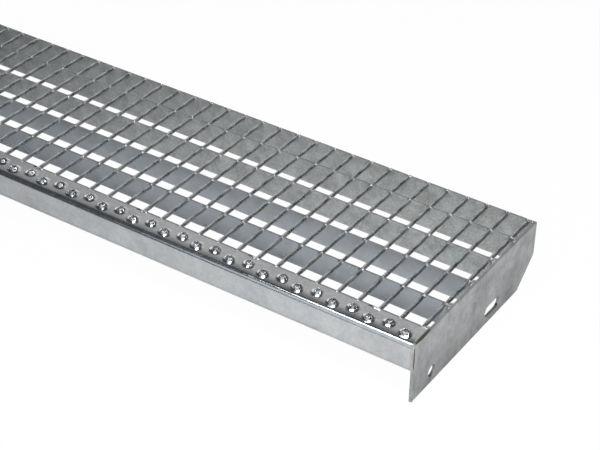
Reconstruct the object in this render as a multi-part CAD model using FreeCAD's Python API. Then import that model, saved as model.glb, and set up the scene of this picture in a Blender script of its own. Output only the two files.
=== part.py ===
import FreeCAD, Part

import math
import os

# Galvanised grating stair tread: two end plates, pressed grating and a folded, pierced nosing.
# X runs along the tread, the front is at -Y, Z is up, and the end plates stand on Z = 0.

# Whole tread
tread_length = 800.0
tread_depth = 244.0

# End plates
plate_thickness = 3.0
plate_height = 68.0
plate_rear_height = 40.0
plate_chamfer_run = 31.5
plate_corner_radius = 6.0

# Bolt hole and slot in each end plate
bolt_hole_diameter = 13.0
bolt_hole_setback = 36.5
bolt_hole_rise = 14.0
slot_spacing = 120.0
slot_length = 30.0

# Pressed grating
bearing_bar_count = 6
bearing_bar_height = 27.5
bearing_bar_thickness = 2.0
rear_bar_spacing = 37.5
cross_bar_width = 3.6
cross_bar_pitch = 23.65
cross_bar_end_gap = 0.5

# Folded nosing
sheet_thickness = 2.0
strip_width = 28.5
flange_height = 33.0
bend_radius = 5.0
lip_width = 10.0
lip_radius = 4.0

# Raised, pierced nubs on the nosing
nub_pitch = 20.15
nub_setback = 14.2
nub_row_spacing = 5.0
nub_end_margin = 12.0
nub_sides = 14
nub_base_diameter = 12.6
nub_shoulder_diameter = 9.0
nub_shoulder_height = 1.2
nub_crown_diameter = 6.6
nub_height = 3.6
nub_bore_diameter = 4.6

# Places that several pieces share
front = -tread_depth / 2
rear = tread_depth / 2
top = plate_height
inner_length = tread_length - 2 * plate_thickness
grating_front = front + strip_width
rear_bar_front = rear - bearing_bar_thickness
bearing_bar_pitch = (rear_bar_front - rear_bar_spacing - grating_front) / (bearing_bar_count - 2)


def evenly_spaced(pitch, margin):
    """Centred places along X, as many as fit between the end plates with a margin at each end."""
    count = 1 + int((inner_length - 2 * margin) / pitch)
    start = -(count - 1) * pitch / 2
    return [start + i * pitch for i in range(count)]


cross_bar_places = evenly_spaced(cross_bar_pitch, cross_bar_end_gap + cross_bar_width / 2)
nub_places = evenly_spaced(nub_pitch, nub_end_margin)


def line(a, b):
    return Part.LineSegment(FreeCAD.Vector(0, *a), FreeCAD.Vector(0, *b)).toShape()


def corner_arc(centre, radius, start_angle):
    """A quarter turn about a (y, z) centre, counted against the clock from the start angle."""
    angles = [math.radians(start_angle + turn) for turn in (0, 45, 90)]
    points = [
        FreeCAD.Vector(0, centre[0] + radius * math.cos(a), centre[1] + radius * math.sin(a))
        for a in angles
    ]
    return Part.Arc(*points).toShape()


def extruded(wire, x_start, length):
    """Solid of a closed (y, z) outline, drawn along X."""
    solid = Part.Face(wire).extrude(FreeCAD.Vector(length, 0, 0))
    solid.translate(FreeCAD.Vector(x_start, 0, 0))
    return solid


def slot_cutter(y, z, length, x_start):
    """Round-ended cutter through an end plate: a plain cylinder where the length equals the width."""
    radius = bolt_hole_diameter / 2
    half_run = length / 2 - radius
    along_x = FreeCAD.Vector(1, 0, 0)
    ends = [
        Part.makeCylinder(radius, plate_thickness, FreeCAD.Vector(x_start, y + side * half_run, z), along_x)
        for side in (-1, 1)
    ]
    if half_run <= 0:
        return ends[0]
    middle = Part.makeBox(
        plate_thickness, 2 * half_run, 2 * radius, FreeCAD.Vector(x_start, y - half_run, z - radius)
    )
    return ends[0].fuse(ends[1]).fuse(middle).removeSplitter()


def end_plate(x_start):
    """Plate with its rear lower corner cut off, rounded there, and pierced for two bolts."""
    chamfer_low = (rear - plate_chamfer_run, 0)
    chamfer_high = (rear, top - plate_rear_height)
    outline = [(front, 0), chamfer_low, chamfer_high, (rear, top), (front, top), (front, 0)]
    wire = Part.Wire([line(a, b) for a, b in zip(outline, outline[1:])])
    plate = extruded(wire, x_start, plate_thickness)
    rounded = [
        edge
        for edge in plate.Edges
        for y, z in (chamfer_low, chamfer_high)
        if all(math.hypot(v.Y - y, v.Z - z) < 1e-6 for v in edge.Vertexes)
    ]
    plate = plate.makeFillet(plate_corner_radius, rounded)
    hole_y = front + bolt_hole_setback
    plate = plate.cut(slot_cutter(hole_y, bolt_hole_rise, bolt_hole_diameter, x_start))
    return plate.cut(slot_cutter(hole_y + slot_spacing, bolt_hole_rise, slot_length, x_start))


def bearing_bar(y):
    """Upright flat bar with its front side at y and a notch in its top for each cross bar."""
    bar = Part.makeBox(
        inner_length,
        bearing_bar_thickness,
        bearing_bar_height,
        FreeCAD.Vector(-inner_length / 2, y, top - bearing_bar_height),
    )
    notches = [
        Part.makeBox(
            cross_bar_width,
            bearing_bar_thickness,
            cross_bar_width,
            FreeCAD.Vector(x - cross_bar_width / 2, y, top - cross_bar_width),
        )
        for x in cross_bar_places
    ]
    return bar.cut(notches)


def cross_bar(x):
    """Square bar pressed into the bearing bars, flush with their tops and with the outer two."""
    return Part.makeBox(
        cross_bar_width,
        rear - grating_front,
        cross_bar_width,
        FreeCAD.Vector(x - cross_bar_width / 2, grating_front, top - cross_bar_width),
    )


def nosing_section():
    """Outline of the folded sheet: top strip, bend, front flange and turned-in lower lip."""
    inner_bend = bend_radius - sheet_thickness
    inner_lip = lip_radius - sheet_thickness
    bottom = top - flange_height
    bend_centre = (front + bend_radius, top - bend_radius)
    lip_centre = (front + lip_radius, bottom + lip_radius)
    inside = front + sheet_thickness
    under = top - sheet_thickness
    over = bottom + sheet_thickness
    lip_end = front + lip_width
    return Part.Wire([
        line((grating_front, top), (bend_centre[0], top)),
        corner_arc(bend_centre, bend_radius, 90),
        line((front, bend_centre[1]), (front, lip_centre[1])),
        corner_arc(lip_centre, lip_radius, 180),
        line((lip_centre[0], bottom), (lip_end, bottom)),
        line((lip_end, bottom), (lip_end, over)),
        line((lip_end, over), (lip_centre[0], over)),
        corner_arc(lip_centre, inner_lip, 180),
        line((inside, lip_centre[1]), (inside, bend_centre[1])),
        corner_arc(bend_centre, inner_bend, 90),
        line((bend_centre[0], under), (grating_front, under)),
        line((grating_front, under), (grating_front, top)),
    ])


def nub_centres():
    """Zigzag line of nub centres along the nosing's top strip."""
    middle = front + nub_setback
    for i, x in enumerate(nub_places):
        side = -1 if i % 2 == 0 else 1
        yield FreeCAD.Vector(x, middle + side * nub_row_spacing / 2, top)


def ring(centre, diameter, height):
    """Corners of a regular polygon about a nub's axis, at a height over the top of the strip."""
    turns = [2 * math.pi * i / nub_sides for i in range(nub_sides)]
    radius = diameter / 2
    return [centre + FreeCAD.Vector(radius * math.cos(a), radius * math.sin(a), height) for a in turns]


def flat_sided(rings):
    """Solid with a flat side between each two corners of a ring and of the next one up."""
    faces = [Part.Face(Part.makePolygon(end + end[:1])) for end in (rings[0], rings[-1])]
    for low, high in zip(rings, rings[1:]):
        for i in range(nub_sides):
            side = [low[i - 1], low[i], high[i], high[i - 1], low[i - 1]]
            faces.append(Part.Face(Part.makePolygon(side)))
    shell = Part.makeShell(faces)
    shell.sewShape()
    return Part.makeSolid(shell)


def nub_wall(centre):
    """Outside of one nub: a sloping foot and a steeper collar."""
    return flat_sided([
        ring(centre, nub_base_diameter, 0),
        ring(centre, nub_shoulder_diameter, nub_shoulder_height),
        ring(centre, nub_crown_diameter, nub_height),
    ])


def nub_hollow(centre):
    """Inside of one nub, open from the underside of the sheet to its crown."""
    mouth_diameter = nub_base_diameter - sheet_thickness
    return flat_sided([
        ring(centre, mouth_diameter, -sheet_thickness),
        ring(centre, nub_bore_diameter, nub_height),
    ])


def nosing():
    """Folded sheet with a drawn, pierced nub at each nub centre."""
    body = extruded(nosing_section(), -inner_length / 2, inner_length)
    walls = [nub_wall(centre) for centre in nub_centres()]
    hollows = [nub_hollow(centre) for centre in nub_centres()]
    return body.fuse(walls).cut(hollows).removeSplitter()


def main():
    pieces = {
        "end_plate_left": end_plate(-tread_length / 2),
        "end_plate_right": end_plate(tread_length / 2 - plate_thickness),
        "nosing": nosing(),
    }
    bearing_bar_fronts = [grating_front + i * bearing_bar_pitch for i in range(bearing_bar_count - 1)]
    for number, y in enumerate(bearing_bar_fronts + [rear_bar_front], start=1):
        pieces[f"bearing_bar_{number}"] = bearing_bar(y)
    for number, x in enumerate(cross_bar_places, start=1):
        pieces[f"cross_bar_{number:02d}"] = cross_bar(x)
    os.makedirs("parts", exist_ok=True)
    for name, shape in pieces.items():
        shape.exportStep(f"parts/{name}.step")


main()
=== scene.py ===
"""Galvanised grating stair tread: zinc finishes, pierced nosing, welds, zinc detail and studio."""

import logging
import math
from dataclasses import dataclass
from enum import Enum
from functools import partial, reduce

import bmesh
import bpy
import numpy as np
from mathutils import Matrix, Vector


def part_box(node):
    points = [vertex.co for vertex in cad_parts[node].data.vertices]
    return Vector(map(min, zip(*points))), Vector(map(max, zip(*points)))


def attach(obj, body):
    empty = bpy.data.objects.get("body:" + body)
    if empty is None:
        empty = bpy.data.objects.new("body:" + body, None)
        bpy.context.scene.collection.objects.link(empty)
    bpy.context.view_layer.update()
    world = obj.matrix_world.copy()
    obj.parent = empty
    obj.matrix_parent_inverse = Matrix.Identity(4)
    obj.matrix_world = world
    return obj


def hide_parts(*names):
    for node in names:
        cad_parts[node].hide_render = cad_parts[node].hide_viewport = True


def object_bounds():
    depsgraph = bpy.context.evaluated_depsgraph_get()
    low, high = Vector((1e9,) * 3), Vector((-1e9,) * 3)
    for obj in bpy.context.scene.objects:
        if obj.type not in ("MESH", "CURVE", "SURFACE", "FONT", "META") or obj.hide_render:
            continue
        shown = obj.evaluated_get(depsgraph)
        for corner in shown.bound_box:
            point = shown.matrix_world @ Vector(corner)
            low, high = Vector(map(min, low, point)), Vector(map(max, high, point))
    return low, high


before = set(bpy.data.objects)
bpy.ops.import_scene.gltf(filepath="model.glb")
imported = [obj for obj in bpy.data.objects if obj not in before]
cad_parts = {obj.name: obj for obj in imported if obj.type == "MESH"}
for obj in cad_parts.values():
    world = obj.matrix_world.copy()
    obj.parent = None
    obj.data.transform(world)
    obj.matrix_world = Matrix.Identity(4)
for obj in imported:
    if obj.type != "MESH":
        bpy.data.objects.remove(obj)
CAD_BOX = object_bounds()

LOG = logging.getLogger("stair_tread")
MM = 0.001

Colour = tuple[float, float, float]
Point = tuple[float, float, float]
Feed = bpy.types.NodeSocket | float | tuple[float, ...]


class Side(Enum):
    """End of the tread, as the sign of X."""

    LEFT = -1
    RIGHT = 1


class Axis(Enum):
    """Axis of the tread along which zinc has run, as its place in a vector."""

    X = 0
    Y = 1
    Z = 2


# Mesh helpers


def grid_quads(rows: int, columns: int, closed: bool = False) -> np.ndarray:
    """Quads of a grid whose points are numbered row by row.

    Args:
        rows: Points across the columns.
        columns: Points in each row.
        closed: Whether the last column joins the first.

    Returns:
        Point numbers, four to a quad.
    """
    column = np.arange(columns if closed else columns - 1)
    row = np.arange(rows - 1)[:, None]
    after = (column + 1) % columns
    low, high = row * columns, (row + 1) * columns
    corners = [low + column, low + after, high + after, high + column]
    return np.stack(corners, axis=-1).reshape(-1, 4)


def repeated_grids(points: np.ndarray, closed: bool = False) -> tuple[np.ndarray, np.ndarray]:
    """Joins many equal grids into one list of points and one of quads.

    Args:
        points: Array of copies, rows, columns and xyz.
        closed: Whether each grid's last column joins its first.

    Returns:
        All points, and the quads that join them.
    """
    copies, rows, columns, _ = points.shape
    quads = grid_quads(rows, columns, closed)
    starts = np.arange(copies)[:, None, None] * rows * columns
    return points.reshape(-1, 3), (quads + starts).reshape(-1, 4)


def new_piece(
    name: str, points: np.ndarray, quads: np.ndarray, merge_mm: float = 0.002, fill: bool = False
) -> bpy.types.Object:
    """Makes a smooth mesh piece, closes its seams and turns its faces outwards.

    Args:
        name: Name of the piece.
        points: Places in millimetres.
        quads: Point numbers, four to a face.
        merge_mm: Distance under which points become one.
        fill: Whether open borders are closed with a face.

    Returns:
        The piece, linked to the scene.
    """
    mesh = bpy.data.meshes.new(name)
    mesh.from_pydata((points * MM).tolist(), [], quads.tolist())
    work = bmesh.new()
    work.from_mesh(mesh)
    bmesh.ops.remove_doubles(work, verts=work.verts, dist=merge_mm * MM)
    if fill:
        bmesh.ops.holes_fill(work, edges=[edge for edge in work.edges if edge.is_boundary], sides=0)
    bmesh.ops.recalc_face_normals(work, faces=work.faces)
    work.to_mesh(mesh)
    work.free()
    mesh.polygons.foreach_set("use_smooth", np.ones(len(mesh.polygons), dtype=bool))
    mesh.update()
    piece = bpy.data.objects.new(name, mesh)
    bpy.context.scene.collection.objects.link(piece)
    return piece


def dress(piece: bpy.types.Object, material: bpy.types.Material) -> None:
    """Gives a piece one material in place of any it had."""
    piece.data.materials.clear()
    piece.data.materials.append(material)


# Finishes


class NodeGraph:
    """Node tree with short ways to add its nodes and to feed their inputs."""

    def __init__(self, tree: bpy.types.NodeTree) -> None:
        """Takes the tree."""
        self.tree = tree

    def feed(self, node: bpy.types.Node, feeds: dict[str | int, Feed]) -> None:
        """Links or sets the inputs of a node.

        Args:
            node: The node.
            feeds: By an input's name or number, a socket to link to it or a value for it.
        """
        for key, value in feeds.items():
            if isinstance(value, bpy.types.NodeSocket):
                self.tree.links.new(value, node.inputs[key])
            else:
                node.inputs[key].default_value = value

    def add(
        self, kind: str, feeds: dict[str | int, Feed] | None = None, **settings: object
    ) -> bpy.types.Node:
        """Adds a shader node.

        Args:
            kind: Type of the node.
            feeds: What its inputs take.
            settings: Its other properties.

        Returns:
            The node.
        """
        node = self.tree.nodes.new(f"ShaderNode{kind}")
        for name, value in settings.items():
            setattr(node, name, value)
        self.feed(node, feeds or {})
        return node

    def calculate(self, operation: str, *terms: Feed, clamp: bool = False) -> bpy.types.NodeSocket:
        """Result of a Math node, kept between 0 and 1 where it is clamped."""
        return self.add("Math", dict(enumerate(terms)), operation=operation, use_clamp=clamp).outputs[0]

    def blend(self, share: Feed, first: Feed, second: Feed) -> bpy.types.NodeSocket:
        """Colour that goes from the first to the second as the share grows."""
        return self.add("Mix", {0: share, 6: first, 7: second}, data_type="RGBA").outputs[2]

    def noise(self, vector: Feed, scale: Feed, detail: float) -> bpy.types.Node:
        """Noise texture."""
        return self.add("TexNoise", {"Vector": vector, "Scale": scale, "Detail": detail})

    def ramp(self, value: Feed, *limits: Feed, interpolation: str = "LINEAR") -> bpy.types.NodeSocket:
        """Carries a value from one range to another.

        Args:
            value: The value.
            limits: Start and end of its range, and of the new range where that isn't 0 to 1.
            interpolation: Way between the two ends.

        Returns:
            The new value.
        """
        labels = ("From Min", "From Max", "To Min", "To Max")
        feeds = {"Value": value, **dict(zip(labels, limits))}
        return self.add("MapRange", feeds, interpolation_type=interpolation).outputs[0]


class ZincGroups:
    """Shader node groups that the zinc finishes share, each built once.

    Attributes:
        wander_m: Distance by which the borders of the crystal patches wander.
        facing_up: Z of the normal from which an edge begins to count as facing up for the painted top
            shade, and fully does.
    """

    wander_m = 0.006
    facing_up = (0.55, 0.85)

    def __init__(self) -> None:
        """Builds the groups."""
        self.spangle = self._spangle()
        self.runs = self._runs()
        self.shading = self._painted_shade()

    @staticmethod
    def _new(
        name: str, inputs: dict[str, str], outputs: dict[str, str]
    ) -> tuple[NodeGraph, bpy.types.bpy_prop_collection, bpy.types.Node]:
        """Starts a group.

        Args:
            name: Name of the group.
            inputs: Float, Vector or Color by input name.
            outputs: The same by output name.

        Returns:
            The group's graph, the sockets that give its inputs, and its output node.
        """
        tree = bpy.data.node_groups.new(name, "ShaderNodeTree")
        for way, sockets in (("INPUT", inputs), ("OUTPUT", outputs)):
            for label, kind in sockets.items():
                tree.interface.new_socket(name=label, in_out=way, socket_type=f"NodeSocket{kind}")
        return NodeGraph(tree), tree.nodes.new("NodeGroupInput").outputs, tree.nodes.new("NodeGroupOutput")

    def _spangle(self) -> bpy.types.NodeTree:
        """Tone and grain of a zinc coat.

        The tone is the weighted sum of soft clouds, crystal patches and fine mottling, each about its
        middle. The patches are Voronoi cells whose borders wander with a noise.

        Returns:
            The group.
        """
        weights = ("Clouds", "Patches", "Mottling")
        graph, given, end = self._new(
            "zinc_spangle",
            {"Vector": "Vector", "Scale": "Float", **{label: "Float" for label in weights}},
            {"Tone": "Float", "Grain": "Float"},
        )
        vector, scale = given["Vector"], given["Scale"]

        def speckle(factor: float, detail: float) -> bpy.types.bpy_prop_collection:
            """Outputs of a noise that is finer than the patches by a factor."""
            return graph.noise(vector, graph.calculate("MULTIPLY", scale, factor), detail).outputs

        wander = {0: speckle(1.6, 2.0)["Color"], 1: (self.wander_m,) * 3, 2: vector}
        shifted = graph.add("VectorMath", wander, operation="MULTIPLY_ADD").outputs[0]
        cells = graph.add("TexVoronoi", {"Vector": shifted, "Scale": scale})
        patch = graph.add("SeparateColor", {0: cells.outputs["Color"]}).outputs[0]
        layers = (speckle(0.35, 4.0)["Fac"], patch, speckle(3.2, 3.0)["Fac"])
        tone = 0.0
        for label, layer in zip(weights, layers):
            centred = graph.calculate("SUBTRACT", layer, 0.5)
            tone = graph.calculate("MULTIPLY_ADD", centred, given[label], tone)
        tone = graph.calculate("ADD", tone, 0.5, clamp=True)
        graph.feed(end, {"Tone": tone, "Grain": speckle(9.0, 3.0)["Fac"]})
        return graph.tree

    def _runs(self) -> bpy.types.NodeTree:
        """Streaks that molten zinc leaves as it drains, long along one axis of the given vector.

        Returns:
            The group.
        """
        inputs = {"Vector": "Vector", "Sharpness": "Float"}
        graph, given, end = self._new("zinc_runs", inputs, {"Run": "Float"})
        streak = graph.noise(given["Vector"], 1.0, 4.0).outputs["Fac"]
        centred = graph.calculate("SUBTRACT", streak, 0.5)
        run = graph.calculate("MULTIPLY_ADD", centred, given["Sharpness"], 0.5, clamp=True)
        graph.feed(end, {"Run": run})
        return graph.tree

    def _painted_shade(self) -> bpy.types.NodeTree:
        """Painted light and shade: colour that changes evenly between two places along a direction, and
        painted shade on edges that face up.

        Returns:
            The group.
        """
        limits = ("Place 1", "Place 2", "Share 1", "Share 2")
        graph, given, end = self._new(
            "zinc_painted_shade",
            {
                "Vector": "Vector",
                "Way": "Vector",
                "Colour": "Color",
                **{label: "Float" for label in (*limits, "Top")},
            },
            {"Colour": "Color"},
        )
        along = graph.add("VectorMath", {0: given["Vector"], 1: given["Way"]}, operation="DOT_PRODUCT")
        change = graph.ramp(along.outputs["Value"], *(given[label] for label in limits))
        # Painted shade on edges that face up.
        normal = graph.add("SeparateXYZ", {0: graph.add("NewGeometry").outputs["Normal"]})
        upward = graph.ramp(normal.outputs["Z"], *self.facing_up, 1.0, given["Top"])
        share = graph.calculate("MULTIPLY", change, upward)
        shaded = graph.add("VectorMath", {0: given["Colour"], "Scale": share}, operation="SCALE")
        graph.feed(end, {"Colour": shaded.outputs[0]})
        return graph.tree


@dataclass(frozen=True)
class ZincFinish:
    """One look of the zinc coat.

    Attributes:
        name: Name of the material.
        dark: Base colour of the darkest patches.
        light: Base colour of the lightest patches.
        run_tint: Colour towards which the runs lean.
        run_amount: Share of that colour at the strongest run.
        run_axis: Direction of the runs.
        run_width_mm: Usual width of a run.
        run_length_mm: Usual length of a run.
        run_sharpness: Contrast of the runs.
        spangle_mm: Usual size of a crystal patch.
        clouds: Weight of soft clouds in the tone.
        patches: Weight of the crystal patches.
        mottling: Weight of the fine mottling.
        roughness: Least and greatest roughness.
        metallic: Metallic value.
        bump: Strength of the grain.
        grain_mm: Depth of the grain.
        shade_way: Direction along which painted light and shade change the coat's tone.
        shade_mm: Places along it where that painted change starts and ends.
        shade: Share of the colour at those two places; under 1 is painted shade, over 1 painted light.
        top_shade: Share of the colour left on edges that face up, as painted shade.
    """

    name: str
    dark: Colour
    light: Colour
    run_tint: Colour = (0.5, 0.5, 0.5)
    run_amount: float = 0.25
    run_axis: Axis = Axis.Z
    run_width_mm: float = 6.0
    run_length_mm: float = 60.0
    run_sharpness: float = 2.6
    spangle_mm: float = 9.0
    clouds: float = 1.6
    patches: float = 0.3
    mottling: float = 1.2
    roughness: tuple[float, float] = (0.34, 0.5)
    metallic: float = 0.9
    bump: float = 0.25
    grain_mm: float = 0.15
    shade_way: Point = (0.0, 0.0, 1.0)
    shade_mm: tuple[float, float] = (0.0, 68.0)
    shade: tuple[float, float] = (1.0, 1.0)
    top_shade: float = 1.0

    def material(self, groups: ZincGroups) -> bpy.types.Material:
        """Builds the material.

        Args:
            groups: The shared node groups.

        Returns:
            A material with its shader and textures.
        """
        material = bpy.data.materials.new(self.name)
        material.use_nodes = True
        graph = NodeGraph(material.node_tree)
        place = graph.add("TexCoord").outputs["Object"]
        weights = {label: getattr(self, label.lower()) for label in ("Clouds", "Patches", "Mottling")}
        fineness = {"Vector": place, "Scale": 1 / (self.spangle_mm * MM)}
        spangle = graph.add("Group", fineness | weights, node_tree=groups.spangle).outputs
        per_metre = [1 / (self.run_width_mm * MM)] * 3
        per_metre[self.run_axis.value] = 1 / (self.run_length_mm * MM)
        stretch = graph.add("Mapping", {"Vector": place, "Scale": per_metre}).outputs[0]
        streaks = {"Vector": stretch, "Sharpness": self.run_sharpness}
        runs = graph.add("Group", streaks, node_tree=groups.runs).outputs["Run"]
        coat = graph.blend(spangle["Tone"], (*self.dark, 1), (*self.light, 1))
        run_share = graph.calculate("MULTIPLY", runs, self.run_amount)
        streaked = graph.blend(run_share, coat, (*self.run_tint, 1))
        # Painted light and shade along a direction, and painted shade on edges that face up.
        shading = {
            "Vector": place,
            "Way": self.shade_way,
            "Colour": streaked,
            "Place 1": self.shade_mm[0] * MM,
            "Place 2": self.shade_mm[1] * MM,
            "Share 1": self.shade[0],
            "Share 2": self.shade[1],
            "Top": self.top_shade,
        }
        grain = {"Strength": self.bump, "Distance": self.grain_mm * MM, "Height": spangle["Grain"]}
        graph.feed(material.node_tree.nodes["Principled BSDF"], {
            "Base Color": graph.add("Group", shading, node_tree=groups.shading).outputs["Colour"],
            "Metallic": self.metallic,
            "Roughness": graph.ramp(spangle["Tone"], 0.0, 1.0, *self.roughness),
            "Normal": graph.add("Bump", grain).outputs[0],
        })
        return material


PLATE_ZINC = ZincFinish(
    name="plate_dull_zinc",
    dark=(0.24, 0.24, 0.24),
    light=(0.6, 0.6, 0.595),
    run_tint=(0.6, 0.6, 0.6),
    run_amount=0.35,
    run_width_mm=5.0,
    run_length_mm=55.0,
    spangle_mm=9.0,
    clouds=1.9,
    mottling=0.7,
    bump=0.12,
    roughness=(0.5, 0.66),
    metallic=0.55,
    # Painted light and shade: darker towards the bottom and the front, lighter towards the top and the
    # rear, and painted shade on up-facing edges such as the top edge and the hole walls.
    shade_way=(0.0, 0.19, 1.0),
    shade_mm=(-23.0, 91.0),
    shade=(0.72, 1.1),
    top_shade=0.58,
)
# Smoother zinc of the front bars, also darker and bluer than the rear bars as painted shade, darker on the
# first wall and lighter on the next as painted shade and light, and painted shade on up-facing edges.
FRONT_BAR_SHADED_ZINC = ZincFinish(
    name="front_bar_smooth_shaded_zinc",
    dark=(0.39, 0.405, 0.42),
    light=(0.64, 0.66, 0.685),
    run_tint=(0.5, 0.51, 0.53),
    run_width_mm=4.0,
    run_length_mm=30.0,
    spangle_mm=7.0,
    clouds=1.0,
    patches=0.08,
    mottling=0.4,
    bump=0.1,
    roughness=(0.24, 0.35),
    metallic=0.95,
    shade_way=(0.0, 1.0, 0.0),
    shade_mm=(-49.0, -8.0),
    shade=(0.9, 1.12),
    top_shade=0.55,
)
# Duller zinc of the rear bars and the cell webs, also lighter than the front bars as painted light, with
# painted shade towards the left end and on up-facing edges.
REAR_BAR_LIT_ZINC = ZincFinish(
    name="rear_bar_dull_lit_zinc",
    dark=(0.41, 0.415, 0.41),
    light=(0.82, 0.83, 0.82),
    run_tint=(0.6, 0.61, 0.6),
    run_width_mm=4.0,
    run_length_mm=30.0,
    spangle_mm=7.0,
    mottling=1.5,
    roughness=(0.34, 0.48),
    metallic=0.8,
    shade_way=(1.0, 0.0, 0.0),
    shade_mm=(-300.0, 350.0),
    shade=(0.9, 1.0),
    top_shade=0.5,
)
CROSS_ZINC = ZincFinish(
    name="cross_bar_zinc",
    dark=(0.34, 0.35, 0.36),
    light=(0.64, 0.65, 0.66),
    run_tint=(0.45, 0.46, 0.48),
    run_axis=Axis.Y,
    run_width_mm=2.0,
    run_length_mm=25.0,
    spangle_mm=6.0,
    roughness=(0.22, 0.36),
    # Painted shade: the cross bars darken towards the right end.
    shade_way=(1.0, 0.0, 0.0),
    shade_mm=(-200.0, 350.0),
    shade=(1.0, 0.8),
)
NOSING_ZINC = ZincFinish(
    name="nosing_bright_zinc",
    dark=(0.4, 0.405, 0.415),
    light=(0.62, 0.625, 0.635),
    run_tint=(0.62, 0.61, 0.59),
    run_amount=0.3,
    run_width_mm=9.0,
    run_length_mm=70.0,
    spangle_mm=11.0,
    clouds=1.1,
    mottling=1.0,
    roughness=(0.12, 0.22),
    metallic=0.95,
    bump=0.34,
    # Painted shade: the flange darkens along its lower edge, standing in for the rounded lip mirroring
    # darker floor.
    shade_mm=(35.0, 41.0),
    shade=(0.66, 1.0),
)
# Near-black: real weld crust and a zinc drip, but also painted shadow down the plates' front edges, painted
# shade in the gap beside the strip's ends, and partly painted shade left of the tacks.
CRUST_AND_SHADE_ZINC = ZincFinish(
    name="weld_crust_and_painted_shade",
    dark=(0.012, 0.011, 0.01),
    light=(0.07, 0.066, 0.058),
    run_tint=(0.05, 0.045, 0.036),
    spangle_mm=2.0,
    roughness=(0.55, 0.75),
    metallic=0.1,
    bump=0.6,
)
DROP_ZINC = ZincFinish(
    name="zinc_drop",
    dark=(0.6, 0.61, 0.62),
    light=(0.85, 0.86, 0.87),
    run_amount=0.1,
    spangle_mm=3.0,
    roughness=(0.2, 0.34),
    metallic=0.95,
    bump=0.1,
)
WELD_ZINC = ZincFinish(
    name="weld_zinc",
    dark=(0.34, 0.335, 0.315),
    light=(0.64, 0.63, 0.605),
    run_tint=(0.46, 0.43, 0.37),
    run_amount=0.3,
    run_width_mm=2.0,
    run_length_mm=8.0,
    spangle_mm=3.0,
    roughness=(0.26, 0.4),
    metallic=0.85,
    bump=0.5,
)


# Pieces


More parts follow.
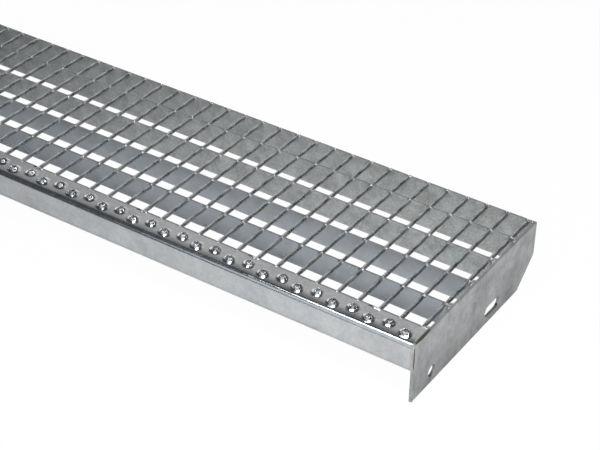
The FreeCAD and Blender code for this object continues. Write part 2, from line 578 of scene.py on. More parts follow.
@dataclass
class Nosing:
    """Folded, pierced sheet at the front edge, with drawn nubs that have a rounded flank and lip.

    Attributes:
        sheet_mm: Thickness of the sheet.
        bend_mm: Outer radius of the bend between strip and flange.
        ease_mm: Width over which the strip leans into the bend.
        ease_deg: Lean that it reaches there.
        lip_mm: Outer radius of the bend at the lower edge.
        lip_width_mm: Width of the turned-in lip.
        cut_mm: Size of the cut-off corners at the lip's free edge.
        nub_pitch_mm: Distance along the tread from nub to nub.
        nub_margin_mm: Least distance of a nub's middle from the end of the sheet.
        nub_setback_mm: Distance of the zigzag line from the front.
        nub_rows_mm: Distance between the two sides of the zigzag.
        nub_base_mm: Diameter at the foot of a nub.
        nub_shoulder_mm: Diameter where its sloping foot meets its collar.
        nub_shoulder_rise_mm: Height of that place over the strip.
        nub_crown_mm: Diameter at the outside of its crown.
        nub_bore_mm: Diameter of its hole.
        nub_height_mm: Height over the strip.
        rim_mm: Height by which the lip round the hole swells over that.
        flare_mm: Distance by which the foot of a nub spreads along the tread.
        ragged_mm: Unevenness of a nub's torn crown.
        seed: Seed of that unevenness.
        across: Intervals along the front and rear edge of one nub's tile.
        along: Intervals along the sides of the tile.
        bend_points: Points along each bend of the folded section.
        face_points: Points down its flange, with those where the bends end.
    """

    sheet_mm: float = 2.0
    bend_mm: float = 5.0
    ease_mm: float = 9.5
    ease_deg: float = 11.0
    lip_mm: float = 4.0
    lip_width_mm: float = 10.0
    cut_mm: float = 0.4
    nub_pitch_mm: float = 20.15
    nub_margin_mm: float = 12.0
    nub_setback_mm: float = 14.2
    nub_rows_mm: float = 5.0
    nub_base_mm: float = 12.6
    nub_shoulder_mm: float = 9.0
    nub_shoulder_rise_mm: float = 1.2
    nub_crown_mm: float = 6.6
    nub_bore_mm: float = 4.6
    nub_height_mm: float = 3.6
    rim_mm: float = 0.15
    flare_mm: float = 1.4
    ragged_mm: float = 0.4
    seed: int = 3
    across: int = 12
    along: int = 14
    bend_points: int = 12
    face_points: int = 10

    def __post_init__(self) -> None:
        """Takes the outside of the sheet from its CAD node and fits whole nub pitches to its length."""
        low, high = (np.array(corner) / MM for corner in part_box("nosing"))
        self.left, self.front, self.bottom = low
        self.right, self.rear = high[:2]
        self.top = high[2] - self.nub_height_mm
        length = self.right - self.left
        self.count = 1 + math.floor((length - 2 * self.nub_margin_mm) / self.nub_pitch_mm)
        self.first_nub = self.left + (length - (self.count - 1) * self.nub_pitch_mm) / 2

    def end_x(self, side: Side) -> float:
        """X of one end of the sheet."""
        return self.left if side is Side.LEFT else self.right

    def nub_centres(self) -> np.ndarray:
        """Places of the nubs in a zigzag that starts at the front.

        Returns:
            Array of nubs and xy in millimetres.
        """
        number = np.arange(self.count)
        side = np.where(number % 2 == 0, -0.5, 0.5)
        x = self.first_nub + number * self.nub_pitch_mm
        y = self.front + self.nub_setback_mm + side * self.nub_rows_mm
        return np.stack([x, y], axis=1)

    def sag(self, y: np.ndarray) -> np.ndarray:
        """Drop of the strip towards the bend, with the square of the way into the eased width."""
        way = np.clip((self.front + self.bend_mm + self.ease_mm - y) / self.ease_mm, 0, 1)
        return self.ease_mm * math.tan(math.radians(self.ease_deg)) / 2 * way**2

    def tile_edges(self) -> np.ndarray:
        """X of the borders between the tiles, half-way between nubs and at the ends of the sheet."""
        x = self.nub_centres()[:, 0]
        return np.concatenate([[self.left], (x[1:] + x[:-1]) / 2, [self.right]])

    def border(self) -> np.ndarray:
        """Points round the nubs' rectangular tiles, against the clock from the front left corner.

        Returns:
            Array of tiles, points and xy.
        """
        edges = self.tile_edges()[:, None]
        x0, x1 = edges[:-1], edges[1:]
        y0, y1 = self.front + self.bend_mm, self.rear
        s = np.arange(self.across) / self.across
        t = np.broadcast_to(np.arange(self.along) / self.along, (self.count, self.along))
        flat = np.zeros((self.count, self.across))
        xs = np.concatenate([x0 + (x1 - x0) * s, x1 + 0 * t, x1 + (x0 - x1) * s, x0 + 0 * t], axis=1)
        ys = np.concatenate([y0 + flat, y0 + (y1 - y0) * t, y1 + flat, y1 + (y0 - y1) * t], axis=1)
        return np.stack([xs, ys], axis=-1)

    def nub_profile(self) -> np.ndarray:
        """Radius and height along one nub, from its foot over the lip and down to the hollow's mouth.

        Foot and collar are straight slopes that meet at the shoulder, with rows close to their ends. The
        lip is a half wave between crown and bore, and the hollow widens with the square of its depth.

        Returns:
            Array of radius or height, and rows.
        """
        diameters = (self.nub_base_mm, self.nub_shoulder_mm, self.nub_crown_mm, self.nub_bore_mm)
        base, shoulder, crown, bore = (diameter / 2 for diameter in diameters)
        mouth = base - self.sheet_mm / 2
        height = self.nub_height_mm
        bends = (0, 1, 2)
        way = np.array([0, 0.08, 0.3, 0.7, 0.92, 1, 1.08, 1.3, 1.6, 1.9, 2])
        flank = [
            np.interp(way, bends, [base, shoulder, crown]),
            np.interp(way, bends, [0, self.nub_shoulder_rise_mm, height]),
        ]
        lip = np.linspace(0, 1, 6)[1:]
        rim = [crown + (bore - crown) * lip, height + self.rim_mm * np.sin(math.pi * lip)]
        depth = np.linspace(0, 1, 7)[1:]
        hollow = [bore + (mouth - bore) * depth**2, height - (height + self.sheet_mm) * depth]
        return np.concatenate([flank, rim, hollow], axis=1)

    def waves(self, angle: np.ndarray, orders: tuple[int, ...]) -> np.ndarray:
        """Unevenness round each nub, a sum of waves with a chance strength and phase of their own.

        Args:
            angle: Array of nubs and points, the direction of each point from the nub's axis.
            orders: Waves to a turn.

        Returns:
            Values of about -1 to 1 in an array of the same shape.
        """
        random = np.random.default_rng(self.seed + orders[0])
        strength = random.uniform(0.3, 1.0, (len(orders), len(angle), 1)) / len(orders) ** 0.5
        phase = random.uniform(0, 2 * math.pi, strength.shape)
        order = np.array(orders)[:, None, None]
        return (strength * np.cos(order * angle + phase)).sum(axis=0)

    def pierced_strip(self) -> tuple[np.ndarray, np.ndarray]:
        """Top strip as one ring grid to a nub.

        Each ring runs round the nub. The outer rings go straight from the tile's rectangle to the foot of
        the nub, the next follow the nub's profile through its hole, and the last go back to the rectangle
        under the sheet. The foot spreads along the tread with the squared cosine of the angle and swells a
        little with long waves, and the crown is torn with shorter ones.

        Returns:
            Points in millimetres and quads.
        """
        centre = self.nub_centres()[:, None, :]
        border = self.border()
        spoke = border - centre
        direction = spoke / np.linalg.norm(spoke, axis=-1, keepdims=True)
        angle = np.arctan2(direction[..., 1], direction[..., 0])
        radius, rise = self.nub_profile()[..., None, None]
        neck, shoulder = self.nub_shoulder_mm / 2, self.nub_shoulder_rise_mm
        spread = np.clip((radius - neck) / (radius[0] - neck), 0, 1) ** 2 * (rise >= 0)
        crown = np.clip((rise - shoulder) / (self.nub_height_mm - shoulder), 0, 1)
        flank = np.clip(rise / shoulder, 0, 1) * (1 - crown)
        torn = crown * self.waves(angle, (3, 4, 5)) + flank * self.waves(angle, (1, 2)) / 2
        narrowed = crown * self.waves(angle, (2, 5)) + flank * self.waves(angle, (4, 7))
        radius = radius + self.flare_mm * spread * np.cos(angle) ** 2 - self.ragged_mm * narrowed / 2
        nub = centre + direction * radius[..., None]
        share = np.array([0, 0.03, 0.4, 0.75])[:, None, None, None]
        flat = np.concatenate([
            border + (nub[0] - border) * share,
            nub,
            border + (nub[-1] - border) * share[::-1],
        ])
        level = np.zeros(flat.shape[:-1])
        level[len(share):-len(share)] = rise + self.ragged_mm * torn
        level[-len(share):] = -self.sheet_mm
        height = self.top + level[..., None] - self.sag(flat[..., 1:])
        rings = np.concatenate([flat, height], axis=-1).transpose(1, 0, 2, 3)
        return repeated_grids(rings, closed=True)

    def fold_profile(self) -> np.ndarray:
        """Section of bend, flange and lip, from the strip's top edge round to its underside.

        The bend is an arc that starts at the strip's lean and ends upright, and the lip is a quarter
        circle. Both sides of the sheet are drawn alike, the inner one with smaller radii.

        Returns:
            Array of points as y and z in millimetres.
        """
        lean = math.radians(self.ease_deg)
        edge = np.array([self.front + self.bend_mm, self.top])
        edge[1] -= self.sag(edge[0])
        radius = self.bend_mm / (1 - math.sin(lean))
        bend = edge + radius * np.array([math.sin(lean), -math.cos(lean)])
        lip = np.array([self.front + self.lip_mm, self.bottom + self.lip_mm])
        lip_end = self.front + self.lip_width_mm
        face = np.linspace(bend[1], lip[1], self.face_points)[1:-1]

        def arc(centre: np.ndarray, size: float, start: float, end: float) -> np.ndarray:
            """Points of a circle from one angle to another."""
            turn = np.linspace(start, end, self.bend_points)
            return centre + size * np.stack([np.cos(turn), np.sin(turn)], axis=1)

        def skin(depth: float, cut: float) -> np.ndarray:
            """One side of the sheet.

            Args:
                depth: Distance under the sheet's outside.
                cut: Way up or down from this side over the cut-off corner at the free edge.

            Returns:
                Array of points as y and z.
            """
            level = self.bottom + depth
            return np.concatenate([
                arc(bend, radius - depth, math.pi / 2 + lean, math.pi),
                np.stack([np.full_like(face, self.front + depth), face], axis=1),
                arc(lip, self.lip_mm - depth, math.pi, 1.5 * math.pi),
                [[lip_end - self.cut_mm, level], [lip_end, level + cut]],
            ])

        outer, inner = skin(0.0, self.cut_mm), skin(self.sheet_mm, -self.cut_mm)
        return np.concatenate([outer, inner[:0:-1], [edge - [0, self.sheet_mm]]])

    def edge_x(self) -> np.ndarray:
        """X of every point along the front and rear edges of the strip."""
        return np.append(self.border()[:, :self.across, 0], self.right)

    def carried(self, section: np.ndarray) -> tuple[np.ndarray, np.ndarray]:
        """Carries a section along the sheet.

        Args:
            section: Points as y and z.

        Returns:
            Points in millimetres and quads.
        """
        x = self.edge_x()
        grid = np.empty((len(x), len(section), 3))
        grid[..., 0] = x[:, None]
        grid[..., 1:] = section
        return grid.reshape(-1, 3), grid_quads(len(x), len(section))

    def build(self, material: bpy.types.Material) -> bpy.types.Object:
        """Makes the nosing and puts it in place of its CAD node.

        Args:
            material: Finish of the sheet.

        Returns:
            The piece.
        """
        rear_edge = np.array([[self.rear, self.top], [self.rear, self.top - self.sheet_mm]])
        parts = [self.pierced_strip(), self.carried(self.fold_profile()), self.carried(rear_edge)]
        starts = np.cumsum([0] + [len(points) for points, _ in parts[:-1]])
        points = np.concatenate([points for points, _ in parts])
        quads = np.concatenate([quads + start for (_, quads), start in zip(parts, starts)])
        piece = new_piece("nosing_sheet", points, quads, merge_mm=0.01, fill=True)
        dress(piece, material)
        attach(piece, "root")
        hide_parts("nosing")
        return piece


@dataclass
class Grating:
    """Bearing bars, the cross bars pressed into them, and the zinc that gathers where they meet.

    Attributes:
        edge_mm: Rounding of the bearing bars' edges.
        lay_mm: Length in which a cross bar makes a full turn about itself.
        sink_mm: Distance of a cross bar's axis under the top of the grating.
        corner_power: Power of the superellipse that is a cross bar's section.
        corner_rad: Angle between a corner of the section and the points beside it.
        bar_rows: Sections along a cross bar.
        web_mm: Least and greatest reach of the zinc web in a corner.
        web_drop: Least and greatest depth of a web, in depths of a cross bar.
        web_sink_mm: Distance of a web's upper edge under the top of the grating.
        bead_mm: Least and greatest radius of the zinc bead on a crossing.
        bead_rise: Least and greatest height of a bead, in radii.
        bead_x_mm: Least and greatest shift of a bead along X from the middle of its crossing.
        bead_y_mm: The same along Y.
        seed: Seed of the scatter.
    """

    edge_mm: float = 0.3
    lay_mm: float = 86.0
    sink_mm: float = 2.1
    corner_power: int = 9
    corner_rad: float = 0.17
    bar_rows: int = 104
    web_mm: tuple[float, float] = (1.0, 2.4)
    web_drop: tuple[float, float] = (0.7, 1.6)
    web_sink_mm: float = 0.12
    bead_mm: tuple[float, float] = (0.8, 1.8)
    bead_rise: tuple[float, float] = (0.35, 0.6)
    bead_x_mm: tuple[float, float] = (0.3, 2.1)
    bead_y_mm: tuple[float, float] = (-1.2, 0.3)
    seed: int = 7

    def __post_init__(self) -> None:
        """Takes the bars' places from their CAD nodes."""
        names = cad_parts
        self.bearing = sorted(name for name in names if name.startswith("bearing_bar"))
        self.cross = sorted(name for name in names if name.startswith("cross_bar"))
        boxes = np.array([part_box(name) for name in self.bearing]) / MM
        self.wall_y = boxes[:, :, 1]
        self.top = boxes[0, 1, 2]
        boxes = np.array([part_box(name) for name in self.cross]) / MM
        self.side_x = boxes[:, :, 0]
        self.run_y = boxes[0, :, 1]
        self.depth = boxes[0, 1, 2] - boxes[0, 0, 2]
        self.random = np.random.default_rng(self.seed)

    def dress(self, front: bpy.types.Material, rear: bpy.types.Material) -> list[bpy.types.Object]:
        """Rounds the bearing bars' edges and gives them their finishes.

        Args:
            front: Finish of the front half of the bars, smoother and also darker as painted shade.
            rear: Finish of the others, duller and also lighter as painted light.

        Returns:
            The bars, from the front.
        """
        bars = [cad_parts[name] for name in self.bearing]
        for number, bar in enumerate(bars):
            dress(bar, front if number < len(bars) / 2 else rear)
            round_edges(bar, self.edge_mm)
        return bars

    def twisted_bars(self, material: bpy.types.Material) -> bpy.types.Object:
        """Square cross bars twisted about their length.

        The section is a superellipse of high power, a square with rounded corners. It turns evenly along
        the bar, and each bar starts at a turn of its own. The first and last rows close on the axis.

        Args:
            material: Finish of the bars.

        Returns:
            The piece, in place of every cross bar's CAD node.
        """
        power, corner = self.corner_power, math.pi / 4
        quarter = np.array([corner - self.corner_rad, corner + self.corner_rad, 2 * corner])
        around = (np.arange(4)[:, None] * math.pi / 2 + quarter).ravel()
        spread = (np.abs(np.cos(around)) ** power + np.abs(np.sin(around)) ** power) ** (-1 / power)
        y = np.linspace(*self.run_y, self.bar_rows)
        y = np.concatenate([y[:1], y, y[-1:]])
        open_row = np.ones(len(y))
        open_row[[0, -1]] = 0
        start = self.random.uniform(0, 2 * math.pi, len(self.cross))
        turn = start[:, None, None] + (2 * math.pi * y / self.lay_mm)[None, :, None] + around
        radius = self.depth / 2 * spread * open_row[:, None]
        points = np.empty((*turn.shape, 3))
        points[..., 0] = self.side_x.mean(axis=1)[:, None, None] + radius * np.cos(turn)
        points[..., 1] = y[None, :, None]
        points[..., 2] = self.top - self.sink_mm + radius * np.sin(turn)
        piece = new_piece("twisted_cross_bars", *repeated_grids(points, closed=True))
        dress(piece, material)
        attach(piece, "root")
        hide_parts(*self.cross)
        return piece

    def corners(self) -> tuple[np.ndarray, np.ndarray]:
        """Inner corners of the cells behind the first bar, with the directions that point into the cell.

        Returns:
            Corner places as xy in millimetres, and signs as xy.
        """
        signs = np.array([-1, 1])
        x = self.side_x[:, None, :, None]
        y = self.wall_y[None, :, None, :]
        shape = (len(self.cross), len(self.bearing), 2, 2)
        place = np.stack(np.broadcast_arrays(x, y), axis=-1)
        sign = np.stack(np.broadcast_arrays(signs[:, None], signs[None, :]), axis=-1)
        sign = np.broadcast_to(sign, (*shape, 2))
        inside = np.ones(shape, dtype=bool)
        inside[:, 0] = False
        inside[:, -1, :, 1] = False
        return place[inside], sign[inside]

    def zinc_webs(self, material: bpy.types.Material) -> bpy.types.Object:
        """Zinc webs in the corners of the cells.

        Each web is a concave quarter circle between the two walls. Its reach shrinks with the depth, and
        its first and last rows close on the corner itself.

        Args:
            material: Finish of the zinc.

        Returns:
            The piece.
        """
        place, sign = self.corners()
        reach = self.random.uniform(*self.web_mm, len(place))
        drop = self.random.uniform(*self.web_drop, len(place)) * self.depth
        turn = np.linspace(0, math.pi / 2, 5)
        down = np.array([0, 0.06, 0.3, 0.6, 0.85, 1])
        size = np.array([0, 1, 0.9, 0.6, 0.28, 0])
        hollow = np.stack([1 - np.sin(turn), 1 - np.cos(turn)], axis=-1)
        flat = reach[:, None, None, None] * size[None, :, None, None] * hollow[None, None]
        points = np.empty((len(place), len(down), len(turn), 3))
        points[..., :2] = place[:, None, None] + sign[:, None, None] * flat
        points[..., 2] = (self.top - self.web_sink_mm - drop[:, None] * down)[..., None]
        return self._finish(new_piece("zinc_webs", *repeated_grids(points)), material)

    def zinc_beads(self, material: bpy.types.Material) -> bpy.types.Object:
        """Low zinc beads near the middles of the crossings behind the nosing, as flattened half balls.

        Args:
            material: Finish of the zinc.

        Returns:
            The piece.
        """
        x = self.side_x.mean(axis=1)[:, None]
        y = self.wall_y.mean(axis=1)[None, 1:]
        centre = np.stack(np.broadcast_arrays(x, y), axis=-1).reshape(-1, 2)
        count = len(centre)
        shift = [self.random.uniform(*limits, count) for limits in (self.bead_x_mm, self.bead_y_mm)]
        centre = centre + np.stack(shift, axis=-1)
        radius = self.random.uniform(*self.bead_mm, count)
        height = radius * self.random.uniform(*self.bead_rise, count)
        around = np.linspace(0, 2 * math.pi, 10, endpoint=False)
        rise = np.linspace(-0.5, 1, 5) * math.pi / 2
        ring = np.stack([np.cos(around), np.sin(around)], axis=-1)
        points = np.empty((count, len(rise), len(around), 3))
        flat = radius[:, None, None, None] * np.cos(rise)[None, :, None, None] * ring[None, None]
        points[..., :2] = centre[:, None, None] + flat
        points[..., 2] = (self.top + height[:, None] * np.sin(rise))[..., None]
        return self._finish(new_piece("zinc_beads", *repeated_grids(points, closed=True)), material)

    @staticmethod
    def _finish(piece: bpy.types.Object, material: bpy.types.Material) -> bpy.types.Object:
        """Dresses a zinc piece and ties it to the tread.

        Args:
            piece: The piece.
            material: Its finish.

        Returns:
            The same piece.
        """
        dress(piece, material)
        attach(piece, "root")
        return piece


def round_edges(
    piece: bpy.types.Object, width_mm: float, merge_mm: float = 0.005, sharp_deg: float = 40.0
) -> None:
    """Closes a CAD mesh with a Weld modifier and rounds its sharp edges with a Bevel.

    Args:
        piece: The CAD node's object.
        width_mm: Width of the rounding.
        merge_mm: Distance under which points become one.
        sharp_deg: Angle from which an edge counts as sharp.
    """
    weld = piece.modifiers.new("close_seams", "WELD")
    weld.merge_threshold = merge_mm * MM
    bevel = piece.modifiers.new("rounded_edges", "BEVEL")
    bevel.width = width_mm * MM
    bevel.segments = 2
    bevel.limit_method = "ANGLE"
    bevel.angle_limit = math.radians(sharp_deg)


@dataclass(frozen=True)
class BeadSize:
    """Section of a weld bead.

    Attributes:
        radius_mm: Radius at the middle of the bead.
        squash: Height of the section over its width, along Z or, on an upright bead, along Y.
        ripple_mm: Distance from ripple to ripple.
    """

    radius_mm: float
    squash: float = 0.7
    ripple_mm: float = 2.4


@dataclass(frozen=True)
class WeldBead:
    """One rippled bead of weld along a straight seam.

    Attributes:
        start: First end, in millimetres.
        end: Other end.
        size: Its section.
    """

    start: Point
    end: Point
    size: BeadSize

    def surface(self, rows: int = 40, around: int = 14) -> np.ndarray:
        """Tube along the seam whose radius swells from closed ends and waves from ripple to ripple.

        The swell is a half sine wave to the power of 0.3, and the ripples wave by a tenth of the radius.

        Args:
            rows: Points along the seam.
            around: Points round the bead.

        Returns:
            Array of rows, columns and xyz in millimetres.
        """
        start, end = np.array(self.start), np.array(self.end)
        run = end - start
        length = np.linalg.norm(run)
        t = np.linspace(0, 1, rows)
        swell = np.clip(np.sin(math.pi * t), 0, 1) ** 0.3
        wave = 1 + 0.1 * np.sin(2 * math.pi * t * length / self.size.ripple_mm)
        radius = self.size.radius_mm * swell * wave
        upright = abs(run[2]) > 0.5 * length
        first = np.array([1.0, 0, 0]) if upright else np.cross(run / length, [0, 0, 1.0])
        second = np.array([0, 1.0, 0]) if upright else np.array([0, 0, 1.0])
        angle = np.linspace(0, 2 * math.pi, around, endpoint=False)
        ring = np.cos(angle)[:, None] * first + self.size.squash * np.sin(angle)[:, None] * second
        return start + t[:, None, None] * run + radius[:, None, None] * ring


@dataclass
class Welds:
    """Beads that join the nosing, the bearing bars and the end plates, and dark beads beside them: weld
    crust and painted shade.

    Attributes:
        tack_spacing_mm: Distance between the tacks along the nosing's rear edge.
        tack_start_mm: Distance of the first tack from the right end.
        tack_length_mm: Length of a tack.
        tack: Section of a tack.
        seam: Section of the seam between flange and plate.
        blob: Section of the blob on top of that seam.
        strip: Section of the low bead along the strip's end.
        strip_rear: Section of the short bead behind that end.
        bar: Section of the bead in front of a bar's end.
        bar_top: Section of the short bead over that end.
        corner: Section of the bead behind it.
        bar_seam_mm: Depth under the grating's top that the beads at a bar's end reach.
        edge_painted_shadow: Section of the painted shadow down a plate's front edge.
        strip_end_painted_shade: Section of the painted shade on a plate's top, in the gap beside the
            strip's end.
        tack_crust_and_shade: Section of the crust beside a tack, partly painted shade of the crevice there.
        drip: Section of the drip left in the right plate's slot.
        drip_mm: Place of that drip from the plate's inner lower front corner.
        drip_length_mm: Length of that drip.
    """

    tack_spacing_mm: float = 140.3
    tack_start_mm: float = 58.8
    tack_length_mm: float = 9.5
    tack: BeadSize = BeadSize(2.0, 0.75, 7.0)
    seam: BeadSize = BeadSize(1.6, 0.8)
    blob: BeadSize = BeadSize(2.0, 0.8)
    strip: BeadSize = BeadSize(1.8, 0.4)
    strip_rear: BeadSize = BeadSize(2.4)
    bar: BeadSize = BeadSize(2.2, 1.0)
    bar_top: BeadSize = BeadSize(1.7, 0.8)
    corner: BeadSize = BeadSize(3.9, 1.5)
    bar_seam_mm: float = 21.0
    edge_painted_shadow: BeadSize = BeadSize(0.55, 0.6)
    strip_end_painted_shade: BeadSize = BeadSize(1.75, 0.4)
    tack_crust_and_shade: BeadSize = BeadSize(1.3, 0.45)
    drip: BeadSize = BeadSize(1.4, 1.0)
    drip_mm: Point = (0.4, 168.4, 9.6)
    drip_length_mm: float = 2.4

    def tacks(self, nosing: Nosing, right_end: float) -> list[WeldBead]:
        """Short beads over the seam between nosing and first bearing bar.

        Args:
            nosing: The nosing.
            right_end: X of the tread's right end in millimetres.

        Returns:
            The tacks, from the right.
        """
        first, last = right_end - self.tack_start_mm, nosing.left + self.tack_length_mm
        half = self.tack_length_mm / 2
        y, z = nosing.rear - 0.2, nosing.top - 0.4
        return [
            WeldBead((x - half, y, z), (x + half, y, z), self.tack)
            for x in np.arange(first, last, -self.tack_spacing_mm).tolist()
        ]

    def seams(self, nosing: Nosing) -> list[WeldBead]:
        """Upright beads where flange and end plates meet, with a blob on top, and low ones on the strip.

        Args:
            nosing: The nosing.

        Returns:
            The beads.
        """
        low, high, y = nosing.bottom + 0.5, nosing.top - 0.8, nosing.front + 0.5
        z, behind = nosing.top - 0.5, nosing.rear + 1
        beads = []
        for side in Side:
            x, out = nosing.end_x(side), side.value
            strip = x - 0.8 * out
            blob = (x - out, y + 0.8, high), (x + 2.4 * out, y + 1.4, high + 0.6)
            beads += [
                WeldBead((x, y, low), (x, y, high), self.seam),
                WeldBead(*blob, self.blob),
                WeldBead((strip, nosing.front + 7, z), (strip, nosing.rear, z), self.strip),
                WeldBead((x - 6 * out, behind, z), (x, behind, z), self.strip_rear),
            ]
        return beads

    def bar_ends(self, grating: Grating, nosing: Nosing) -> list[WeldBead]:
        """Upright beads in the corners of bearing bars and end plates, and a short one over each bar's end.

        Args:
            grating: The grating.
            nosing: The nosing, which ends at the plates as the bars do.

        Returns:
            The beads.
        """
        low, high = grating.top - self.bar_seam_mm, grating.top - 0.6
        z = high - 0.6
        beads = []
        for side in Side:
            x, out = nosing.end_x(side), side.value
            over, corner = x - 1.2 * out, x - 1.7 * out
            for front, rear in grating.wall_y.tolist():
                beads += [
                    WeldBead((x, front, low), (x, front, high), self.bar),
                    WeldBead((over, front - 1.2, z), (over, rear - 0.4, z), self.bar_top),
                ]
            beads += [
                WeldBead((corner, y, low), (corner, y, high), self.corner)
                for y in (grating.wall_y[:-1, 1] + 1).tolist()
            ]
        return beads

    def crust_and_painted_shade(self, tacks: list[WeldBead], nosing: Nosing, tread: np.ndarray) -> list[WeldBead]:
        """Dark beads: painted shadow down the front edge of each end plate, painted shade on its top beside
        the strip's end, a dark drip in a slot, and crust left of each tack that is partly painted shade.

        Args:
            tacks: The tacks.
            nosing: The nosing.
            tread: Low and high corner of the tread's box in millimetres.

        Returns:
            The beads of crust.
        """
        low, high, y, z = nosing.bottom + 4, nosing.top - 2, nosing.front - 0.1, nosing.top - 0.2
        beads = []
        for side, outer in zip(Side, tread[:, 0]):
            middle = (nosing.end_x(side) + outer) / 2
            # These two beads are painted shade: a shadow line down the plate's front edge and the dark gap
            # beside the strip's end.
            ends = (middle, nosing.front + 2.5, z), (middle, nosing.rear + 2, z)
            beads += [
                WeldBead((outer, y, low), (outer, y, high), self.edge_painted_shadow),
                WeldBead(*ends, self.strip_end_painted_shade),
            ]
        plate = np.array(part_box("end_plate_right")[0]) / MM
        x, y, z = (plate + self.drip_mm).tolist()
        beads.append(WeldBead((x, y, z), (x + self.drip_length_mm, y, z), self.drip))
        # Dark crust left of each tack, partly painted shade of the crevice there.
        for x, y, z in (tack.start for tack in tacks):
            ends = (x - 4.5, y + 0.3, z + 0.2), (x + 1.5, y + 0.3, z + 0.2)
            beads.append(WeldBead(*ends, self.tack_crust_and_shade))
        return beads

    def build(self, beads: list[WeldBead], name: str, material: bpy.types.Material) -> bpy.types.Object:
        """Makes one piece of several beads.

        Args:
            beads: The beads.
            name: Name of the piece.
            material: Finish of the weld.

        Returns:
            The piece.
        """
        surfaces = np.stack([bead.surface() for bead in beads])
        piece = new_piece(name, *repeated_grids(surfaces, closed=True))
        dress(piece, material)
        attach(piece, "root")
        return piece


@dataclass
class EndPlate:
    """One end plate.

    Attributes:
        side: End of the tread.
        edge_mm: Rounding of the sheared edges.
    """

    side: Side
    edge_mm: float = 0.5

    def dress(self, material: bpy.types.Material) -> bpy.types.Object:
        """Rounds the plate's edges and gives it its finish.

        Args:
            material: The finish.

        Returns:
            The plate.
        """
        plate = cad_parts[f"end_plate_{self.side.name.lower()}"]
        dress(plate, material)
        round_edges(plate, self.edge_mm)
        return plate


# Studio


@dataclass(frozen=True)
class Softbox:
    """Oval lamp.

    Attributes:
        name: Name of the lamp.
        place_m: Middle of its face.
        target_m: Point that it faces.
        width_m: Size along its own X.
        height_m: Size along its own Y.
        power_w: Power.
        colour: Colour of the light.
    """

    name: str
    place_m: Point
    target_m: Point
    width_m: float
    height_m: float
    power_w: float
    colour: Colour = (1.0, 1.0, 1.0)

    def build(self) -> None:
        """Adds the lamp."""
        data = bpy.data.lights.new(self.name, "AREA")
        data.shape = "ELLIPSE"
        data.size, data.size_y = self.width_m, self.height_m
        data.energy = self.power_w
        data.color = self.colour
        lamp = bpy.data.objects.new(self.name, data)
        aim = (Vector(self.target_m) - Vector(self.place_m)).to_track_quat("-Z", "Y")
        lamp.matrix_world = Matrix.Translation(self.place_m) @ aim.to_matrix().to_4x4()
        bpy.context.scene.collection.objects.link(lamp)


@dataclass(frozen=True)
class PhotoCamera:
    """Camera at the photograph's viewing angle.

    Attributes:
        place_m: Lens.
        azimuth_deg: Turn from the view along +Y towards the right end.
        elevation_deg: Height above the horizon.
        roll_deg: Turn of the picture against the clock.
        focal_px: Focal length in pixels of the photograph.
        image_width_px: Width of the photograph.
    """

    place_m: Point = (0.95774, -1.16449, 1.02867)
    azimuth_deg: float = 33.37
    elevation_deg: float = 35.065
    roll_deg: float = 0.986
    focal_px: float = 1649.21
    image_width_px: int = 600

    def build(self) -> None:
        """Adds the camera and makes it the scene's own."""
        azimuth, elevation = math.radians(self.azimuth_deg), math.radians(self.elevation_deg)
        back = Vector((
            math.sin(azimuth) * math.cos(elevation),
            -math.cos(azimuth) * math.cos(elevation),
            math.sin(elevation),
        ))
        roll = Matrix.Rotation(math.radians(self.roll_deg), 4, "Z")
        turn = back.to_track_quat("Z", "Y").to_matrix().to_4x4() @ roll
        data = bpy.data.cameras.new("photo_camera")
        data.sensor_width = 36.0
        data.lens = self.focal_px / self.image_width_px * data.sensor_width
        data.clip_start = 0.01
        camera = bpy.data.objects.new("photo_camera", data)
        camera.matrix_world = Matrix.Translation(self.place_m) @ turn
        bpy.context.scene.collection.objects.link(camera)
        bpy.context.scene.camera = camera


@dataclass(frozen=True)
class RoomPatch:
    """Part of the room with a light of its own.

    Attributes:
        colour: Its light.
        limits: Parts of the direction, each with the values where the patch starts to show and fully does.
    """

    colour: Colour
    limits: tuple[tuple[str, float, float], ...]


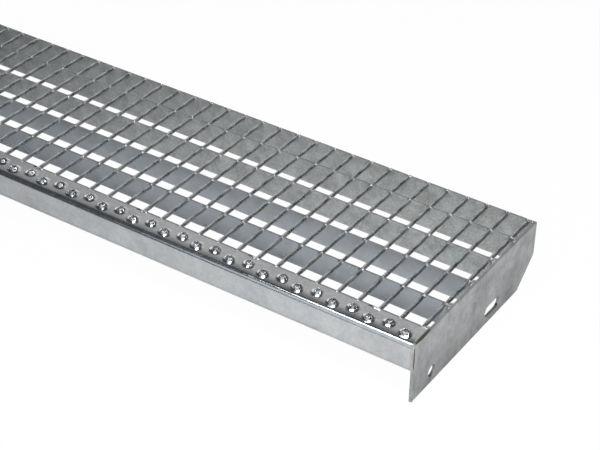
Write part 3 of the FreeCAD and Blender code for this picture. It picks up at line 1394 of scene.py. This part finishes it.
@dataclass
class Studio:
    """White floor in a dark room with a pale rear wall, lamps and camera.

    Attributes:
        floor_m: Side of the floor.
        floor_colour: Diffuse colour of the floor.
        ceiling: Light of the ceiling and of the front of the room.
        seen_white: Share of plain white that the floor shows to the camera, the rest being its lit colour.
        mirrored_white: The same share as metal mirrors it, near the tread and far on its left.
        mirrored_m: X at which the near share ends and the far one starts.
    """

    floor_m: float = 12.0
    floor_colour: Colour = (0.86, 0.86, 0.86)
    ceiling: Colour = (0.04, 0.045, 0.052)
    seen_white: float = 0.98
    mirrored_white: tuple[float, float] = (0.06, 0.7)
    mirrored_m: tuple[float, float] = (-0.5, -1.3)

    def floor(self) -> None:
        """Adds the floor, a flat grid that keeps the tread's shadow and still looks white."""
        half = self.floor_m / 2 / MM
        line = np.linspace(-half, half, 3)
        points = np.stack(np.broadcast_arrays(line[None, :], line[:, None], 0.0), axis=-1).reshape(-1, 3)
        piece = new_piece("floor", points, grid_quads(3, 3))
        material = bpy.data.materials.new("white_floor")
        material.use_nodes = True
        material.node_tree.nodes.clear()
        graph = NodeGraph(material.node_tree)
        ray = graph.add("LightPath").outputs
        place = graph.add("SeparateXYZ", {0: graph.add("TexCoord").outputs["Object"]}).outputs
        mirrors = graph.calculate("MAXIMUM", ray["Is Glossy Ray"], ray["Is Transmission Ray"])
        far = graph.ramp(place["X"], *self.mirrored_m, *self.mirrored_white)
        mirrored = graph.calculate("MULTIPLY", mirrors, far)
        share = graph.calculate("MULTIPLY_ADD", ray["Is Camera Ray"], self.seen_white, mirrored)
        lit = graph.add("BsdfDiffuse", {"Color": (*self.floor_colour, 1)}).outputs[0]
        white = graph.add("Emission").outputs[0]
        mix = graph.add("MixShader", {0: share, 1: lit, 2: white})
        graph.add("OutputMaterial", {"Surface": mix.outputs[0]})
        dress(piece, material)

    def surroundings(self) -> None:
        """Sets the world: a dark room, lighter patches laid over it in turn, and white to the camera."""
        world = bpy.data.worlds.new("studio")
        bpy.context.scene.world = world
        world.use_nodes = True
        graph = NodeGraph(world.node_tree)
        nodes = world.node_tree.nodes
        direction = graph.add("SeparateXYZ", {0: graph.add("TexCoord").outputs["Generated"]}).outputs
        light = (*self.ceiling, 1)
        for patch in self.patches():
            shares = [
                graph.ramp(direction[axis], start, end, interpolation="SMOOTHSTEP")
                for axis, start, end in patch.limits
            ]
            shown = reduce(partial(graph.calculate, "MULTIPLY"), shares)
            light = graph.blend(shown, light, (*patch.colour, 1))
        room = nodes["Background"]
        graph.feed(room, {"Color": light})
        white = graph.add("Background", {"Color": (1, 1, 1, 1)})
        seen = graph.add("LightPath").outputs["Is Camera Ray"]
        mix = graph.add("MixShader", {0: seen, 1: room.outputs[0], 2: white.outputs[0]})
        graph.feed(nodes["World Output"], {"Surface": mix.outputs[0]})

    def patches(self) -> list[RoomPatch]:
        """Pale wall behind on the left, a brighter part of it higher up and white paper at its foot.

        Returns:
            The patches, each laid over the ones before it.
        """
        wall = (("Y", -0.1, 0.3), ("Z", 0.84, 0.66), ("X", 0.3, -0.25), ("X", -0.8, -0.48))
        high = (("Y", 0.35, 0.5), ("Z", 0.92, 0.82), ("Z", 0.5, 0.6), ("X", -0.4, -0.28), ("X", 0.1, -0.05))
        foot = (("Y", 0.1, 0.4), ("Z", 0.42, 0.25), ("X", -0.35, -0.6))
        return [
            RoomPatch((0.655, 0.66, 0.66), wall),
            RoomPatch((0.8, 0.8, 0.8), high),
            RoomPatch((1.4, 1.4, 1.4), foot),
        ]

    def lamps(self) -> list[Softbox]:
        """Softbox over the front of the tread, a wide panel behind the camera and a lamp on the right."""
        return [
            Softbox("overhead_softbox", (0.45, -0.34, 0.8), (0.45, -0.24, 0.0), 1.15, 0.27, 6.8),
            Softbox("front_panel", (0.65, -1.9, 1.15), (0.65, 0.0, 0.1), 3.6, 2.8, 24.0, (0.84, 0.94, 1.0)),
            Softbox("right_softbox", (2.6, 0.4, 1.0), (0.4, 0.0, 0.0), 0.8, 0.8, 13.0),
        ]

    def build(self) -> None:
        """Adds everything round the tread."""
        self.floor()
        self.surroundings()
        for lamp in self.lamps():
            lamp.build()
        PhotoCamera().build()
        bpy.context.scene.view_settings.view_transform = "Standard"


def main() -> None:
    """Builds the finishes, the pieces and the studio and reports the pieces."""
    logging.basicConfig(level=logging.INFO, format="%(name)s: %(message)s")
    groups = ZincGroups()
    drop, weld = DROP_ZINC.material(groups), WELD_ZINC.material(groups)
    plate = PLATE_ZINC.material(groups)
    pieces = [EndPlate(side).dress(plate) for side in Side]
    nosing = Nosing()
    grating = Grating()
    rear_lit_bar_zinc = REAR_BAR_LIT_ZINC.material(groups)
    pieces += grating.dress(FRONT_BAR_SHADED_ZINC.material(groups), rear_lit_bar_zinc)
    welds = Welds()
    tread = np.array(CAD_BOX) / MM
    tacks = welds.tacks(nosing, tread[1, 0])
    pieces += [
        nosing.build(NOSING_ZINC.material(groups)),
        grating.twisted_bars(CROSS_ZINC.material(groups)),
        grating.zinc_webs(rear_lit_bar_zinc),
        grating.zinc_beads(drop),
        welds.build(tacks, "tack_welds", drop),
        welds.build(welds.crust_and_painted_shade(tacks, nosing, tread), "weld_crust_and_painted_shade", CRUST_AND_SHADE_ZINC.material(groups)),
        welds.build(welds.seams(nosing), "seam_welds", weld),
        welds.build(welds.bar_ends(grating, nosing), "bar_end_welds", weld),
    ]
    for piece in pieces:
        LOG.info("%s: %d faces", piece.name, len(piece.data.polygons))
    Studio().build()


if __name__ == "__main__":
    main()
